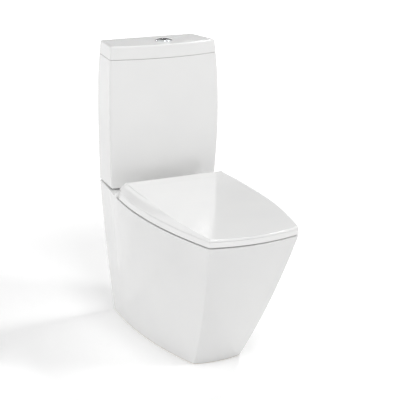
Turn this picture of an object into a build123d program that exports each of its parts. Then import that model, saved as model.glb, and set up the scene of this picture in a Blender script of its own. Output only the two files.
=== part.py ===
from build123d import *
import os
from collections import namedtuple
from math import hypot

# Close coupled toilet: a tapered pan with bowed sides, a slim cistern on its shelf, a seat and lid that
# share one hinge rod, and the flushing and filling gear inside the cistern.
# Millimetres. +Z is up, the front faces -Y, and the origin is on the floor under the middle of the object.
# A place in plan is given by x and by its distance from the wall behind the object.

# Overall sizes
DEPTH = 687.0
WALL_Y = DEPTH / 2
RIM_Z = 400.0
CISTERN_Z = 404.0
SEAM_Z = 770.5
TOP_Z = 808.0

# Pan: half widths and distances from the wall of its plan at the foot, the waist and the rim
Outline = namedtuple("Outline", "back_x back_d side_x side_d front_x front_d side_bow front_bow")
PAN_FOOT = Outline(124, 25, 127, 90, 69, 464, 18, 10)
PAN_WAIST = Outline(140, 10, 147, 106, 96, 580, 30, 15)
PAN_RIM = Outline(152, 0, 165, 115, 124, 666, 35, 19)
PAN_WALL = 12.0
DECK_THICK = 30.0
DECK_UNDER_Z = RIM_Z - DECK_THICK
PAN_FRONT_RADIUS = 3.0
PAN_SHOULDER_RADIUS = 40.0
PAN_EDGE_RADIUS = 2.5

# Bowl, its rim opening, and the waste passage behind it
RIM_HOLE = Outline(92, 286, 104, 330, 84, 611, 12, 13)
BOWL_MIDDLE = Outline(66, 300, 78, 340, 58, 548, 9, 9)
SUMP = Outline(39, 314, 42, 340, 34, 424, 4, 4)
BOWL_MIDDLE_Z = 240.0
SUMP_Z = 100.0
RIM_OVERHANG = 12.0
BOWL_WALL = 11.0
RIM_HOLE_RADII = (72, 50, 50)
BOWL_TOP_RADII = (70, 50, 50)
BOWL_MIDDLE_RADII = (46, 36, 36)
SUMP_RADII = (28, 12, 18)
WASTE_ROUTE = ((362, 140), (290, 138), (215, 262), (140, 190), (55, 190))
TRAP_BORE_R = 38.0
TRAP_OUTER_R = 48.0
TRAP_BEND_R = 55.0
OUTLET_END_D, OUTLET_Z = WASTE_ROUTE[-1]
SPIGOT_R = 51.0
SPIGOT_LENGTH = 62.0
DUCT_HALF_WIDTH = 38.0
DUCT_WALL = 9.0
DUCT_DEPTH = 40.0
DUCT_END_D = 300.0
SHELF_PLATE_X = 60.0
SHELF_PLATE_BACK_D = 20.0
SHELF_PLATE_FRONT_D = 132.0
FILL_HOLE_R = 24.0
BOLT_HOLE_R = 6.5
HINGE_HOLE_R = 8.0
RIM_EDGE_R = 8.0
FLOOR_LUG_X = 92.0
FLOOR_LUG_D = 230.0
FLOOR_LUG_SIZE = 36.0
FLOOR_LUG_HEIGHT = 18.0
FLOOR_BOLT_R = 5.0
TAIL_HOLE_GAP = 3.0
FITTING_GAP = 1.0

# Cistern: its half widths and its depth swell to the peak height, and its front is bowed
CISTERN_PEAK_Z = 625.0
CISTERN_LOWER_Z = 510.0
CISTERN_UPPER_Z = 700.0
CISTERN_FRONT_X = 167.0
CISTERN_BACK_X = 153.5
FRONT_DROP_TOP = 9.7
FRONT_DROP_BOTTOM = 6.0
BACK_DROP_TOP = 12.5
BACK_DROP_BOTTOM = 1.5
CISTERN_SIDE_D = 126.0
SIDE_DROP_TOP = 7.0
SIDE_DROP_BOTTOM = 12.0
CISTERN_BACK_TRIM = 2.0
CISTERN_BOW = 24.0
CISTERN_WALL = 10.0
CISTERN_FLOOR = 14.0
CISTERN_CORNER_R = 5.0
CISTERN_EDGE_R = 4.0
FLOOR_Z = CISTERN_Z + CISTERN_FLOOR
SEAM_GAP = 0.5
SEAM_EDGE_R = 1.5
LID_LIP_DEPTH = 12.0
LID_LIP_WALL = 5.0
LID_LIP_GAP = 1.5
WALL_HOLE_X = 90.0
WALL_HOLE_Z = 735.0
WALL_HOLE_R = 4.0

# Places of the fittings in the cistern
FLUSH_D = 76.0
FILL_X = -112.0
FILL_D = 62.0
BOLT_X = 66.0
PAD_X = 124.0
PAD_D = 100.0

# Seat and hinge
HINGE_D = 194.0
HINGE_Z = 409.0
RING_Z = 404.2
RING_THICK = 13.8
RING_DRAFT = 4.0
RING_TOP_Z = RING_Z + RING_THICK
LID_GAP = 0.6
LID_Z = RING_TOP_Z + LID_GAP
LID_BACK_PULL_X = 0.75
LID_BACK_PULL_D = 0.06
FRONT_PULL_X = 0.3
SEAT_INSET = 2.0
SEAT_BACK_D = 206.0
LID_BACK_D = 187.5
LID_BACK_X = 168.0
SEAT_FRONT_D = 668.0
SEAT_FRONT_BOW = 19.0
SEAT_CORNER_R = 2.5
LID_SLOPE = (
    (0, 0, 0),
    (0.6, 2.6, 0),
    (3.4, 5, 0.8),
    (5.4, 6.7, 3),
    (6.9, 8, 6.5),
    (8.5, 9.3, 11),
    (17, 15.3, 14),
    (25, 19.2, 16),
    (35, 21, 17),
)
LID_FALL = ((240, 21), (470, 15.6), (700, 4.6))
RING_HOLE = Outline(80, 312, 92, 352, 73, 588, 10, 12)
RING_HOLE_RADII = (66, 46, 46)
ROD_R = 4.0
BUSH_R = 5.5
EYE_R = 8.5
RUNNING_GAP = 0.05
PILLAR_X = 77.5
PILLAR_WIDTH = 16.0
LID_EYE_X = 101.0
RING_EYE_X = 132.0
EYE_WIDTH = 26.0
ROD_HALF_LENGTH = 174.0
CAP_INNER_X = 149.0
CAP_OUTER_X = 181.0
CAP_R = 7.5
CAP_END_R = 3.0
EYE_NECK_RISE = 4.0
EYE_NECK_LENGTH = 20.0
RING_INNER_R = 7.0
RING_OUTER_R = 1.0
LID_HOLLOW = Outline(112, 214, 131, 250, 98, 540, 16, 10)
LID_HOLLOW_DEPTH = 9.0
LID_ROOF_Z = LID_Z + LID_HOLLOW_DEPTH
LID_HOLLOW_RADII = (30, 20, 20)
LID_HINGE_ROOM = 6.0
PILLAR_FOOT_R = 10.0
PILLAR_FOOT_HEIGHT = 4.0
PILLAR_R = 8.0
STUD_R = 4.0
STUD_RISE = 4.0
STUD_END_Z = 342.0
HINGE_WASHER_R = 13.0
HINGE_WASHER_FOOT_R = 10.0
HINGE_WASHER_HEIGHT = 8.0
NUT_HUB_R = 8.0
NUT_HEIGHT = 10.0
NUT_WING_REACH = 15.0
NUT_WING_THICK = 4.0
NUT_WING_ROUND = 4.0
BUFFER_R = 7.0
BUFFER_GAP = 0.3
SEAT_BUFFER_PLACES = ((-135, 300), (135, 300), (-110, 560), (110, 560))
LID_BUFFER_PLACES = ((-122, 320), (122, 320), (-96, 498), (96, 498))

# Flush buttons: they stand a little to the right in the lid
BUTTON_X = 13.0
BUTTON_D = 90.0
BEZEL_R = 24.0
BEZEL_HEIGHT = 4.0
SLEEVE_R = 20.0
SLEEVE_BORE_R = 18.0
SLEEVE_FLOOR_Z = 778.0
BUTTON_R = 17.5
BUTTON_BASE_Z = 800.0
BUTTON_TOP_Z = 813.0
BUTTON_SPLIT_X = BUTTON_X + 2.0
BUTTON_SPLIT_GAP = 0.8
FULL_ROD_X = BUTTON_X - 8.0
HALF_ROD_X = BUTTON_X + 9.5
PUSH_ROD_R = 3.0
ROD_ARM_Z = 712.0
ROD_ARM_HEIGHT = 5.0
SPRING_R = 4.6
SPRING_WIRE_R = 0.5
SPRING_TURNS = 6
SPRING_SEAT_GAP = 0.3
BEZEL_EDGE_R = 2.0
SLEEVE_FLOOR = 3.0
LOCKNUT_R = 28.0
LOCKNUT_SIDES = 8
LOCKNUT_HEIGHT = 9.0
BUTTON_EDGE_R = 1.0
DISH_R = 81.0
DISH_DEPTH = 1.6
FOOT_WIDTH = 3.0
FOOT_END_Z = 683.6
GUIDE_ROD_END_Z = 662.0
FREE_GAP = 0.5

# Flush valve
FLANGE_R = 38.0
GASKET = 3.0
FLANGE_Z = FLOOR_Z + GASKET
FLANGE_TOP_Z = FLANGE_Z + 6.0
TAIL_R = 29.5
TAIL_BORE_R = 24.0
TAIL_END_Z = 380.0
BACKNUT_R = 37.0
DOUGHNUT_R = 48.0
DOUGHNUT_Z = 386.0
TOWER_R = 36.5
TOWER_BORE_R = 33.0
TOWER_LEG_TOP_Z = 480.0
TOWER_TOP_Z = 645.0
CORE_R = 15.0
CORE_BORE_R = 12.0
CORE_TOP_Z = 690.0
COLLAR_R = 21.0
COLLAR_Z = 684.0
LEVER_PIVOT_X = -34.0
LEVER_PIVOT_Z = 680.0
LEVER_THICK = 6.0
LEVER_WIDTH = 8.0
LEVER_PIN_R = 2.0
FOOT_X = -46.5
GUIDE_X = 29.0
GUIDE_R = 6.0
GUIDE_TOP_Z = 692.0
BACKNUT_HEIGHT = 12.0
DOUGHNUT_BORE_R = 44.0
TOWER_ROOF = 5.0
TOWER_FOOT = 6.0
TOWER_WINDOW = 38.0
EAR_OFFSET = 7.0
EAR_THICK = 4.0
EAR_LENGTH = 9.0
CORE_Z = 431.0
CORE_DISC_R = 27.0
CORE_DISC_THICK = 5.0
FLUSH_SEAL_R = 29.0
COLLAR_THICK = 4.0
HALF_FLOAT_Z = 560.0
HALF_FLOAT_R = 31.0
HALF_FLOAT_HEIGHT = 40.0
LEVER_OUTER_X = -49.0
LEVER_INNER_X = -16.0

# Fill valve
FILL_TAIL_R = 10.45
FILL_TAIL_END_Z = 350.0
INLET_R = 10.2
INLET_LENGTH = 40.0
FILL_BORE_R = 5.0
FILL_HEAD_Z = 690.0
FILL_HEAD_TOP_Z = 712.0
FILL_HEAD_R = 16.0
FLOAT_R = 27.0
FLOAT_Z = 592.0
FLOAT_TOP_Z = 672.0
FILL_PIVOT_X = FILL_X + 21.0
FILL_PIVOT_Z = 716.0
FILL_LINK_X = FILL_PIVOT_X + 25.0
FILL_LEVER_TAIL = 4.0
FILL_FLANGE_R = 17.0
FILL_FLANGE_THICK = 5.0
FILL_NUT_R = 16.0
RISER_R = 10.0
STRAINER_BORE_R = 3.5
STRAINER_LENGTH = 30.0
STRAINER_INSET = 2.0
FLOAT_WALL = 2.0
FLOAT_TAB_LENGTH = 23.0
LINK_R = 1.5
LINK_GAP = 0.8

# Coupling set
BOLT_R = 4.0
BOLT_HEAD_R = 6.5
BOLT_HEAD_HEIGHT = 5.5
BOLT_END_Z = 340.0
SEAL_R = 13.0
SEAL_THICK = 4.0
WASHER_R = 11.0
WASHER_THICK = 1.5
PAD_LENGTH = 26.0
PAD_WIDTH = 14.0

STANDING = (Align.CENTER, Align.CENTER, Align.MIN)
HANGING = (Align.CENTER, Align.CENTER, Align.MAX)
FORWARD = (Align.CENTER, Align.MAX, Align.MIN)
BACKWARD = (Align.CENTER, Align.MIN, Align.MIN)
AHEAD_HANGING = (Align.CENTER, Align.MAX, Align.MAX)

os.makedirs("parts", exist_ok=True)


def at(x, d, z=0.0):
    """The point at x, at a distance from the wall and at a height."""
    return (x, WALL_Y - d, z)


def flat(x, d):
    """The same place in plan."""
    return (x, WALL_Y - d)


def save(builder, name):
    """Labels a finished piece and writes it."""
    builder.part.label = name
    export_step(builder.part, f"parts/{name}.step")


def blend(share, low, middle, high):
    """The parabola through three evenly spaced values, at a share of the way from low to high."""
    low_part = low * (1 - share) * (1 - 2 * share)
    middle_part = middle * 4 * share * (1 - share)
    return low_part + middle_part + high * share * (2 * share - 1)


def pan_outline(z, inset=0.0):
    """The pan's plan at a height, drawn in by a wall at the sides and the front."""
    o = Outline(*(blend(z / RIM_Z, *values) for values in zip(PAN_FOOT, PAN_WAIST, PAN_RIM)))
    return o._replace(
        back_x=o.back_x - inset,
        side_x=o.side_x - inset,
        front_x=o.front_x - inset,
        front_d=o.front_d - inset,
    )


def grown(o, wall):
    """A bowl outline with a wall added all round."""
    return o._replace(
        back_x=o.back_x + wall,
        back_d=o.back_d - wall,
        side_x=o.side_x + wall,
        front_x=o.front_x + wall,
        front_d=o.front_d + wall,
    )


def thicker(radii):
    """The corner radii outside the bowl's wall."""
    return [radius + BOWL_WALL for radius in radii]


def swell(z, widest, drop_top, drop_bottom):
    """A size that is largest at the cistern's peak height and falls away above and below it."""
    if z > CISTERN_PEAK_Z:
        return widest - drop_top * ((z - CISTERN_PEAK_Z) / (TOP_Z - CISTERN_PEAK_Z)) ** 2
    return widest - drop_bottom * ((CISTERN_PEAK_Z - z) / (CISTERN_PEAK_Z - CISTERN_Z)) ** 2


def cistern_face(z, inset=0.0):
    """The cistern's plan at a height, drawn in by a wall. Outside, it runs past the back to be trimmed."""
    front_x = swell(z, CISTERN_FRONT_X, FRONT_DROP_TOP, FRONT_DROP_BOTTOM) - inset
    back_x = swell(z, CISTERN_BACK_X, BACK_DROP_TOP, BACK_DROP_BOTTOM) - inset
    side_d = swell(z, CISTERN_SIDE_D, SIDE_DROP_TOP, SIDE_DROP_BOTTOM) - inset
    back_d = inset or -CISTERN_BACK_TRIM
    with BuildSketch(Plane.XY.offset(z)) as face:
        with BuildLine():
            right, left = flat(front_x, side_d), flat(-front_x, side_d)
            Polyline(right, flat(back_x, back_d), flat(-back_x, back_d), left)
            ThreePointArc(left, flat(0, side_d + CISTERN_BOW), right)
        make_face()
        fillet(face.vertices().group_by(Axis.Y)[0], CISTERN_CORNER_R)
    return face.sketch


def bow_between(start, end, bow):
    """An arc between two plan points that stands out by bow to the right of the way from start to end."""
    dx, dy = end[0] - start[0], end[1] - start[1]
    reach = bow / hypot(dx, dy)
    middle = ((start[0] + end[0]) / 2 + dy * reach, (start[1] + end[1]) / 2 - dx * reach)
    return ThreePointArc(start, middle, end)


def bowed_face(z, o, radii):
    """A face with a straight back, flanks that splay to the sides, and bowed sides and front.
    The radii round its front, side and back corners, in that order."""
    back, side, front = flat(o.back_x, o.back_d), flat(o.side_x, o.side_d), flat(o.front_x, o.front_d)
    left_back, left_side, left_front = [(-x, y) for x, y in (back, side, front)]
    with BuildSketch(Plane.XY.offset(z)) as face:
        with BuildLine():
            Polyline(side, back, left_back, left_side)
            bow_between(left_front, front, o.front_bow)
            bow_between(front, side, o.side_bow)
            bow_between(left_side, left_front, o.side_bow)
        make_face()
        for corners, radius in zip(face.vertices().group_by(Axis.Y), radii):
            if radius:
                fillet(corners, radius)
    return face.sketch


def rim_half_width(d):
    """The half width of the pan's rim at a distance from the wall, on its bowed side."""
    share = (d - PAN_RIM.side_d) / (PAN_RIM.front_d - PAN_RIM.side_d)
    chord = PAN_RIM.side_x + (PAN_RIM.front_x - PAN_RIM.side_x) * share
    return chord + 4 * PAN_RIM.side_bow * share * (1 - share)


def seat_face(z, inset, front_pull=0.0, back=None):
    """The plan of the seat: it follows the rim, drawn in by the inset, and at the front by a pull of its own.
    It may run on to back corners behind its sides, given by x and distance from the wall."""
    middle_d = (SEAT_BACK_D + SEAT_FRONT_D) / 2
    side = flat(rim_half_width(SEAT_BACK_D) - inset, SEAT_BACK_D)
    middle = flat(rim_half_width(middle_d) - inset, middle_d)
    front = flat(PAN_RIM.front_x - FRONT_PULL_X * inset, SEAT_FRONT_D - front_pull)
    left_side, left_middle, left_front = [(-x, y) for x, y in (side, middle, front)]
    with BuildSketch(Plane.XY.offset(z)) as face:
        with BuildLine():
            if back:
                back_x, back_d = back
                Polyline(side, flat(back_x, back_d), flat(-back_x, back_d), left_side)
            else:
                Line(side, left_side)
            ThreePointArc(left_side, left_middle, left_front)
            bow_between(left_front, front, SEAT_FRONT_BOW)
            ThreePointArc(front, middle, side)
        make_face()
        fillet(face.vertices().group_by(Axis.Y)[0], SEAT_CORNER_R)
    return face.sketch


def on_cap_end(edge):
    """Whether an edge is at the outer end of a hinge cap."""
    return abs(edge.center().X) > CAP_OUTER_X - 1


# Bowl: a cup hung under the rim deck, with the waste passage leaving the back of its sump
with BuildPart() as bowl_block:
    loft([
        bowed_face(SUMP_Z - BOWL_WALL, grown(SUMP, BOWL_WALL), thicker(SUMP_RADII)),
        bowed_face(BOWL_MIDDLE_Z, grown(BOWL_MIDDLE, BOWL_WALL), thicker(BOWL_MIDDLE_RADII)),
        bowed_face(DECK_UNDER_Z, grown(RIM_HOLE, RIM_OVERHANG + BOWL_WALL), thicker(BOWL_TOP_RADII)),
    ])

with BuildPart() as waste_way:
    with BuildLine() as waste_line:
        FilletPolyline(*[at(0, d, z) for d, z in WASTE_ROUTE], radius=TRAP_BEND_R)
    with BuildSketch(Plane(origin=waste_line.line @ 0, z_dir=waste_line.line % 0)):
        Circle(TRAP_BORE_R)
    sweep()

with BuildPart() as pan_bowl:
    add(bowl_block.part)
    bowl_inside = [
        bowed_face(SUMP_Z, SUMP, SUMP_RADII),
        bowed_face(BOWL_MIDDLE_Z, BOWL_MIDDLE, BOWL_MIDDLE_RADII),
        bowed_face(DECK_UNDER_Z, grown(RIM_HOLE, RIM_OVERHANG), BOWL_TOP_RADII),
    ]
    loft(bowl_inside, mode=Mode.SUBTRACT)
    add(waste_way.part, mode=Mode.SUBTRACT)
    with BuildSketch(Plane.XY.offset(DECK_UNDER_Z)):
        with Locations(flat(0, RIM_HOLE.back_d)):
            Rectangle(2 * (DUCT_HALF_WIDTH - DUCT_WALL), 2 * (RIM_OVERHANG + 2 * BOWL_WALL))
    extrude(amount=DUCT_WALL - DUCT_DEPTH, mode=Mode.SUBTRACT)
save(pan_bowl, "pan_bowl")

# Waste passage: it rises behind the sump to the weir that holds the water, and falls to the outlet spigot
with BuildPart() as pan_trapway:
    with BuildLine():
        add(waste_line.line)
    with BuildSketch(Plane(origin=waste_line.line @ 0, z_dir=waste_line.line % 0)):
        Circle(TRAP_OUTER_R)
    sweep()
    with BuildSketch(Plane.XZ.offset(OUTLET_END_D - WALL_Y)):
        with Locations((0, OUTLET_Z)):
            Circle(SPIGOT_R)
    extrude(amount=SPIGOT_LENGTH)
    add(waste_way.part, mode=Mode.SUBTRACT)
    add(bowl_block.part, mode=Mode.SUBTRACT)
save(pan_trapway, "pan_trapway")

# Opening in the rim deck over the bowl
with BuildPart() as rim_opening:
    add(bowed_face(DECK_UNDER_Z, RIM_HOLE, RIM_HOLE_RADII))
    extrude(amount=DECK_THICK)

# Place of the plate in the shelf that the flush water passes through
with BuildPart() as shelf_plate_block:
    with Locations(at(0, SHELF_PLATE_BACK_D, DECK_UNDER_Z)):
        Box(2 * SHELF_PLATE_X, SHELF_PLATE_FRONT_D - SHELF_PLATE_BACK_D, DECK_THICK, align=FORWARD)

# Pan: the outer skirt, the shelf and the rim deck, hollow below and open to the wall
with BuildPart() as pan:
    loft([
        bowed_face(z, pan_outline(z), (PAN_FRONT_RADIUS, PAN_SHOULDER_RADIUS, 0))
        for z in (0.0, RIM_Z / 2, RIM_Z)
    ])
    rim_edges = pan.faces().sort_by(Axis.Z)[-1].edges().sort_by(Axis.Y)[:-1]
    fillet(rim_edges, PAN_EDGE_RADIUS)
    hollow = [
        bowed_face(
            z,
            pan_outline(z, PAN_WALL)._replace(back_d=-PAN_WALL),
            (PAN_FRONT_RADIUS, PAN_SHOULDER_RADIUS, 0),
        )
        for z in (-1.0, DECK_UNDER_Z / 2, DECK_UNDER_Z)
    ]
    loft(hollow, mode=Mode.SUBTRACT)
    add(rim_opening.part, mode=Mode.SUBTRACT)
    fillet(pan.faces().sort_by(Axis.Z)[-1].inner_wires()[0].edges(), RIM_EDGE_R)
    add(shelf_plate_block.part, mode=Mode.SUBTRACT)
    add(bowl_block.part, mode=Mode.SUBTRACT)
    with Locations(at(FILL_X, FILL_D, RIM_Z)):
        Cylinder(FILL_HOLE_R, DECK_THICK, align=HANGING, mode=Mode.SUBTRACT)
    with Locations(at(-BOLT_X, FLUSH_D, RIM_Z), at(BOLT_X, FLUSH_D, RIM_Z)):
        Cylinder(BOLT_HOLE_R, DECK_THICK, align=HANGING, mode=Mode.SUBTRACT)
    with Locations(at(-PILLAR_X, HINGE_D, RIM_Z), at(PILLAR_X, HINGE_D, RIM_Z)):
        Cylinder(HINGE_HOLE_R, DECK_THICK, align=HANGING, mode=Mode.SUBTRACT)
    for side in (-1, 1):
        with Locations(at(side * FLOOR_LUG_X, FLOOR_LUG_D)):
            Box(FLOOR_LUG_SIZE, FLOOR_LUG_SIZE, FLOOR_LUG_HEIGHT, align=STANDING)
            Cylinder(FLOOR_BOLT_R, FLOOR_LUG_HEIGHT, align=STANDING, mode=Mode.SUBTRACT)
save(pan, "pan")

# Flush way: the plate under the cistern with its hole and seal seat, and the duct that leads on to the bowl
with BuildPart() as pan_shelf_plate:
    add(shelf_plate_block.part)
    with Locations(at(0, FLUSH_D, RIM_Z)):
        Cylinder(DOUGHNUT_R + FITTING_GAP, RIM_Z - DOUGHNUT_Z, align=HANGING, mode=Mode.SUBTRACT)
        Cylinder(TAIL_R + TAIL_HOLE_GAP, DECK_THICK, align=HANGING, mode=Mode.SUBTRACT)
save(pan_shelf_plate, "pan_shelf_plate")

with BuildPart() as pan_flush_duct:
    for half_width, depth, mode in (
        (DUCT_HALF_WIDTH, DUCT_DEPTH, Mode.ADD),
        (DUCT_HALF_WIDTH - DUCT_WALL, DUCT_DEPTH - DUCT_WALL, Mode.SUBTRACT),
    ):
        with Locations(at(0, FLUSH_D, DECK_UNDER_Z)):
            Cylinder(half_width, depth, align=HANGING, mode=mode)
            Box(2 * half_width, DUCT_END_D - FLUSH_D, depth, align=AHEAD_HANGING, mode=mode)
    add(bowl_block.part, mode=Mode.SUBTRACT)
save(pan_flush_duct, "pan_flush_duct")

# Seat ring: a moulded ring with two hinge eyes behind it
with BuildPart() as seat_ring:
    loft([seat_face(RING_Z, SEAT_INSET), seat_face(RING_TOP_Z, SEAT_INSET + RING_DRAFT)])
    add(bowed_face(RING_Z, RING_HOLE, RING_HOLE_RADII))
    extrude(amount=RING_THICK, mode=Mode.SUBTRACT)
    fillet(seat_ring.faces().sort_by(Axis.Z)[-1].inner_wires()[0].edges(), RING_INNER_R)
    fillet(seat_ring.faces().sort_by(Axis.Z)[-1].outer_wire().edges(), RING_OUTER_R)
    for x in (-RING_EYE_X, RING_EYE_X):
        with Locations(at(x, HINGE_D, HINGE_Z)):
            Cylinder(EYE_R, EYE_WIDTH, rotation=(0, 90, 0))
        with Locations(at(x, HINGE_D, RING_Z + EYE_NECK_RISE)):
            Box(EYE_WIDTH, EYE_NECK_LENGTH, RING_TOP_Z - RING_Z - EYE_NECK_RISE, align=FORWARD)
        with Locations(at(x, HINGE_D, HINGE_Z)):
            Cylinder(BUSH_R, EYE_WIDTH, rotation=(0, 90, 0), mode=Mode.SUBTRACT)
save(seat_ring, "seat_ring")

# Seat lid: a moulded shell that falls to its front, with sloping sides, thinner over the hinge, on two eyes
with BuildPart() as seat_lid:
    loft([
        seat_face(
            LID_Z + rise,
            SEAT_INSET + RING_DRAFT + inset,
            front_pull,
            (LID_BACK_X - LID_BACK_PULL_X * inset, LID_BACK_D + LID_BACK_PULL_D * inset),
        )
        for inset, rise, front_pull in LID_SLOPE
    ])
    with BuildSketch(Plane.YZ):
        with BuildLine():
            fall = [(WALL_Y - d, LID_Z + rise) for d, rise in LID_FALL]
            ThreePointArc(*fall)
            back_y, back_z = WALL_Y - LID_BACK_D + EYE_R, fall[0][1]
            Polyline(fall[-1], (fall[-1][0], TOP_Z), (back_y, TOP_Z), (back_y, back_z), fall[0])
        make_face()
    extrude(amount=DEPTH, both=True, mode=Mode.SUBTRACT)
    add(bowed_face(LID_Z, LID_HOLLOW, LID_HOLLOW_RADII))
    extrude(amount=LID_HOLLOW_DEPTH, mode=Mode.SUBTRACT)
    with Locations(at(0, SEAT_BACK_D + FITTING_GAP, LID_Z)):
        Box(2 * rim_half_width(SEAT_BACK_D), DEPTH, LID_HINGE_ROOM, align=BACKWARD, mode=Mode.SUBTRACT)
    for x in (-LID_EYE_X, LID_EYE_X):
        with Locations(at(x, HINGE_D, HINGE_Z)):
            Cylinder(EYE_R, EYE_WIDTH, rotation=(0, 90, 0))
            Box(EYE_WIDTH, 2 * (EYE_R - FITTING_GAP), LID_ROOF_Z - HINGE_Z, align=STANDING)
            Cylinder(BUSH_R, EYE_WIDTH, rotation=(0, 90, 0), mode=Mode.SUBTRACT)
save(seat_lid, "seat_lid")

# Hinge: a steel rod pressed into two pillars, with plastic bushes in the eyes and round end caps
with BuildPart() as hinge_rod:
    with Locations(at(0, HINGE_D, HINGE_Z)):
        Cylinder(ROD_R, 2 * ROD_HALF_LENGTH, rotation=(0, 90, 0))
save(hinge_rod, "hinge_rod")

with BuildPart() as hinge_end_caps:
    for side in (-1, 1):
        with Locations(at(side * (CAP_INNER_X + CAP_OUTER_X) / 2, HINGE_D, HINGE_Z)):
            Cylinder(CAP_R, CAP_OUTER_X - CAP_INNER_X, rotation=(0, 90, 0))
    fillet(hinge_end_caps.faces().filter_by(Axis.X).edges().filter_by(on_cap_end), CAP_END_R)
    with Locations(at(0, HINGE_D, HINGE_Z)):
        Cylinder(ROD_R, 2 * ROD_HALF_LENGTH, rotation=(0, 90, 0), mode=Mode.SUBTRACT)
save(hinge_end_caps, "hinge_end_caps")

for name, eye_x in (("ring_hinge_bushes", RING_EYE_X), ("lid_hinge_bushes", LID_EYE_X)):
    with BuildPart() as bushes:
        with Locations(at(-eye_x, HINGE_D, HINGE_Z), at(eye_x, HINGE_D, HINGE_Z)):
            Cylinder(BUSH_R, EYE_WIDTH, rotation=(0, 90, 0))
            Cylinder(ROD_R + RUNNING_GAP, EYE_WIDTH, rotation=(0, 90, 0), mode=Mode.SUBTRACT)
    save(bushes, name)

with BuildPart() as hinge_pillars:
    for x in (-PILLAR_X, PILLAR_X):
        with Locations(at(x, HINGE_D, RIM_Z)):
            Cylinder(PILLAR_FOOT_R, PILLAR_FOOT_HEIGHT, align=STANDING)
            Cylinder(PILLAR_R, HINGE_Z - RIM_Z, align=STANDING)
        with Locations(at(x, HINGE_D, HINGE_Z)):
            Cylinder(EYE_R, PILLAR_WIDTH, rotation=(0, 90, 0))
            Cylinder(ROD_R, PILLAR_WIDTH, rotation=(0, 90, 0), mode=Mode.SUBTRACT)
        with Locations(at(x, HINGE_D, RIM_Z)):
            Cylinder(STUD_R, STUD_RISE, align=STANDING, mode=Mode.SUBTRACT)
save(hinge_pillars, "hinge_pillars")

with BuildPart() as hinge_studs:
    with Locations(at(-PILLAR_X, HINGE_D, STUD_END_Z), at(PILLAR_X, HINGE_D, STUD_END_Z)):
        Cylinder(STUD_R, RIM_Z + STUD_RISE - STUD_END_Z, align=STANDING)
save(hinge_studs, "hinge_studs")

with BuildPart() as hinge_washers:
    with Locations(at(-PILLAR_X, HINGE_D, DECK_UNDER_Z), at(PILLAR_X, HINGE_D, DECK_UNDER_Z)):
        Cone(HINGE_WASHER_FOOT_R, HINGE_WASHER_R, HINGE_WASHER_HEIGHT, align=HANGING)
        Cylinder(STUD_R, HINGE_WASHER_HEIGHT, align=HANGING, mode=Mode.SUBTRACT)
save(hinge_washers, "hinge_washers")


def wing_nuts(places, bore_r):
    """Wing nuts that hang from the given places."""
    with BuildPart() as nuts:
        for place in places:
            with Locations(place):
                Cylinder(NUT_HUB_R, NUT_HEIGHT, align=HANGING)
                Box(2 * NUT_WING_REACH, NUT_WING_THICK, NUT_HEIGHT, align=HANGING)
                Cylinder(bore_r, NUT_HEIGHT, align=HANGING, mode=Mode.SUBTRACT)
        wing_ends = nuts.edges().filter_by(Axis.Y).group_by(Axis.Z)[0]
        fillet(wing_ends, NUT_WING_ROUND)
    return nuts


washer_end_z = DECK_UNDER_Z - HINGE_WASHER_HEIGHT
hinge_wing_nuts = wing_nuts(
    [at(-PILLAR_X, HINGE_D, washer_end_z), at(PILLAR_X, HINGE_D, washer_end_z)], STUD_R
)
save(hinge_wing_nuts, "hinge_wing_nuts")

# Buffers: rubber pads that keep the ring off the rim and the lid off the ring
with BuildPart() as seat_buffers:
    with Locations(*[at(x, d, RIM_Z + BUFFER_GAP) for x, d in SEAT_BUFFER_PLACES]):
        Cylinder(BUFFER_R, RING_Z - RIM_Z - BUFFER_GAP, align=STANDING)
save(seat_buffers, "seat_buffers")

with BuildPart() as lid_buffers:
    with Locations(*[at(x, d, RING_TOP_Z + BUFFER_GAP) for x, d in LID_BUFFER_PLACES]):
        Cylinder(BUFFER_R, LID_ROOF_Z - RING_TOP_Z - BUFFER_GAP, align=STANDING)
save(lid_buffers, "lid_buffers")

# Cistern: a tank with a thick floor, open at the top
with BuildPart() as cistern:
    heights = (CISTERN_LOWER_Z, CISTERN_PEAK_Z, CISTERN_UPPER_Z, SEAM_Z)
    loft([cistern_face(z) for z in (CISTERN_Z, *heights)])
    with Locations(at(0, 0)):
        Box(DEPTH, DEPTH, TOP_Z, align=BACKWARD, mode=Mode.SUBTRACT)
    fillet(cistern.faces().sort_by(Axis.Z)[0].edges().sort_by(Axis.Y)[:-1], CISTERN_EDGE_R)
    loft([cistern_face(z, CISTERN_WALL) for z in (FLOOR_Z, *heights)], mode=Mode.SUBTRACT)
    with Locations(at(0, FLUSH_D, CISTERN_Z)):
        Cylinder(TAIL_R + FITTING_GAP, CISTERN_FLOOR, align=STANDING, mode=Mode.SUBTRACT)
    with Locations(at(FILL_X, FILL_D, CISTERN_Z)):
        Cylinder(FILL_TAIL_R + FITTING_GAP, CISTERN_FLOOR, align=STANDING, mode=Mode.SUBTRACT)
    with Locations(at(-BOLT_X, FLUSH_D, CISTERN_Z), at(BOLT_X, FLUSH_D, CISTERN_Z)):
        Cylinder(BOLT_HOLE_R, CISTERN_FLOOR, align=STANDING, mode=Mode.SUBTRACT)
    with Locations(at(-WALL_HOLE_X, 0, WALL_HOLE_Z), at(WALL_HOLE_X, 0, WALL_HOLE_Z)):
        Cylinder(WALL_HOLE_R, 3 * CISTERN_WALL, rotation=(90, 0, 0), mode=Mode.SUBTRACT)
save(cistern, "cistern")

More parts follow.
